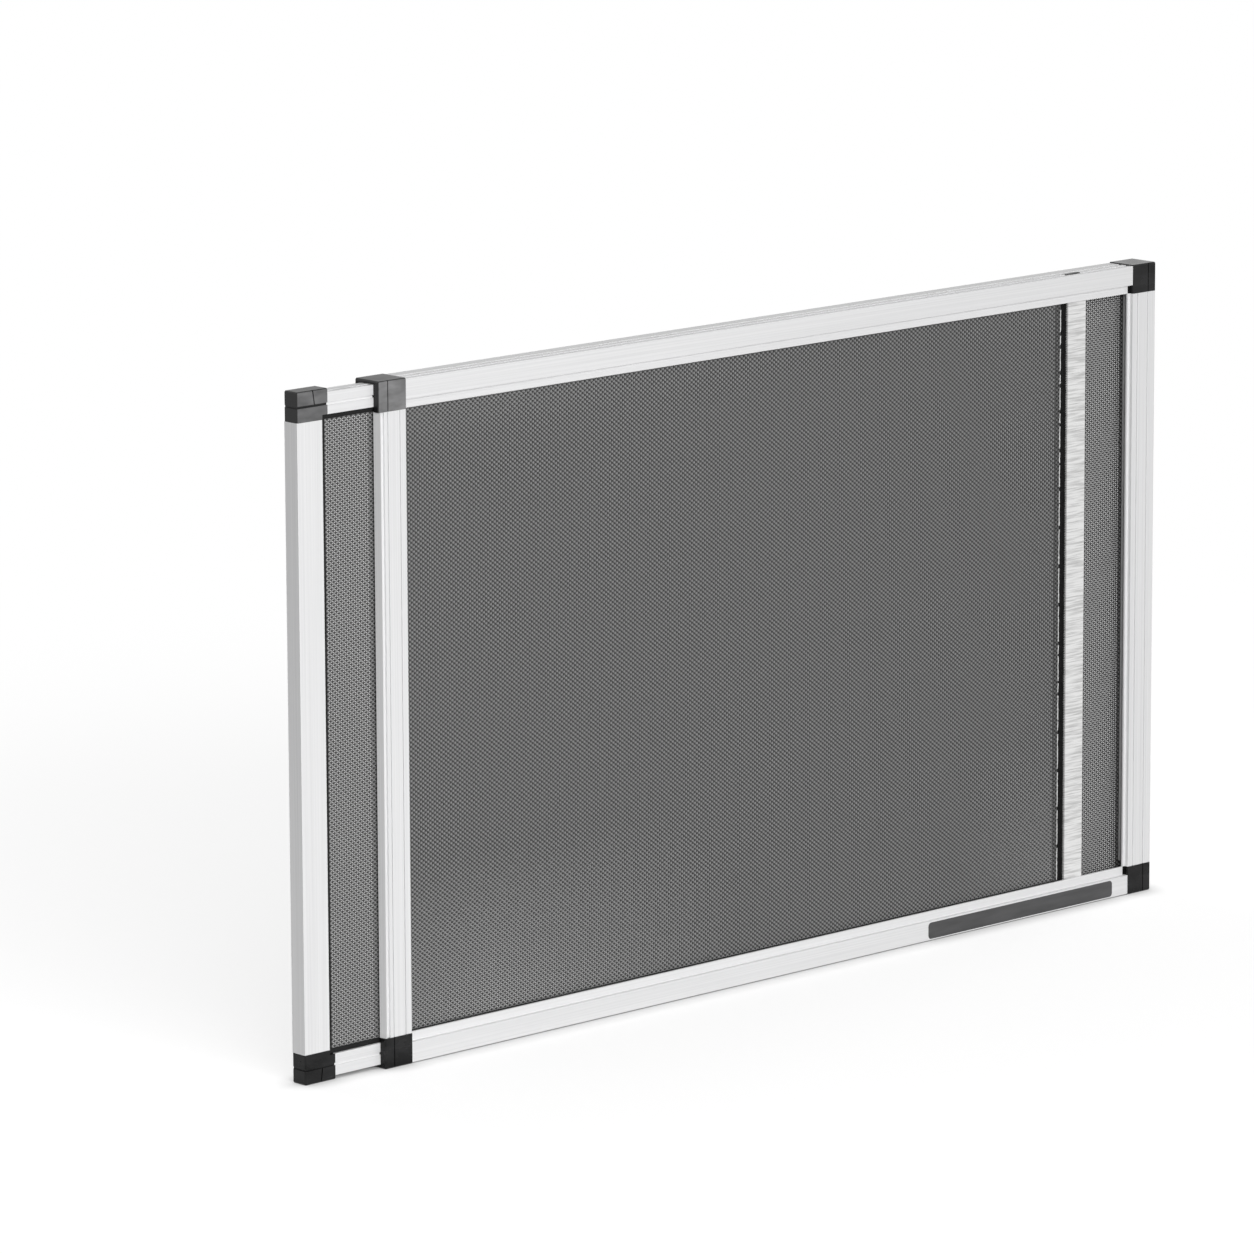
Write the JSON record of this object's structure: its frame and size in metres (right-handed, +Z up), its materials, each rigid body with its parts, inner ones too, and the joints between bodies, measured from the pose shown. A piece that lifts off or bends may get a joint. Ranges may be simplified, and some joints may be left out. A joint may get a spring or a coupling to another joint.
{
  "type": "window screen frame",
  "caption": "Adjustable window insect screen: a meshed aluminium frame slides in the channels of an outer meshed frame, with black moulded corners.",
  "frame": {"origin": "middle of the floor under the screen, as it stands in the picture", "axes": "+X along the width towards the closed end, +Y from front to back, +Z up"},
  "size_m": [0.6676, 0.0194, 0.381],
  "materials": {
    "satin_aluminium": "satin",
    "white_bar": "satin",
    "black_moulding": "satin",
    "mesh_cloth": "woven",
    "black_spline": "matte",
    "black_pile": "pile"
  },
  "bodies": {
    "outer_frame": {"outer_top_rail": "satin_aluminium", "outer_bottom_rail": "satin_aluminium", "outer_end_stile": "satin_aluminium", "guide_stile": "satin_aluminium", "rear_stile": "satin_aluminium", "outer_corner_top": "black_moulding", "outer_corner_bottom": "black_moulding", "guide_corner_top": "black_moulding", "guide_corner_bottom": "black_moulding", "outer_mesh": "mesh_cloth", "outer_spline": "black_spline"},
    "inner_frame": {"inner_top_rail": "satin_aluminium", "inner_bottom_rail": "satin_aluminium", "inner_end_stile": "satin_aluminium", "inner_corner_top": "black_moulding", "inner_corner_bottom": "black_moulding", "inner_mesh": "mesh_cloth", "inner_spline": "black_spline", "closing_bar": "white_bar", "closing_pile_seal": "black_pile", "closing_plug_top": "black_moulding", "closing_plug_bottom": "black_moulding"}
  },
  "joints": [
    {"name": "width_slide", "type": "slide", "parent": "outer_frame", "child": "inner_frame", "axis": [-1, 0, 0], "range_m": [-0.0324, 0.475]}
  ]
}
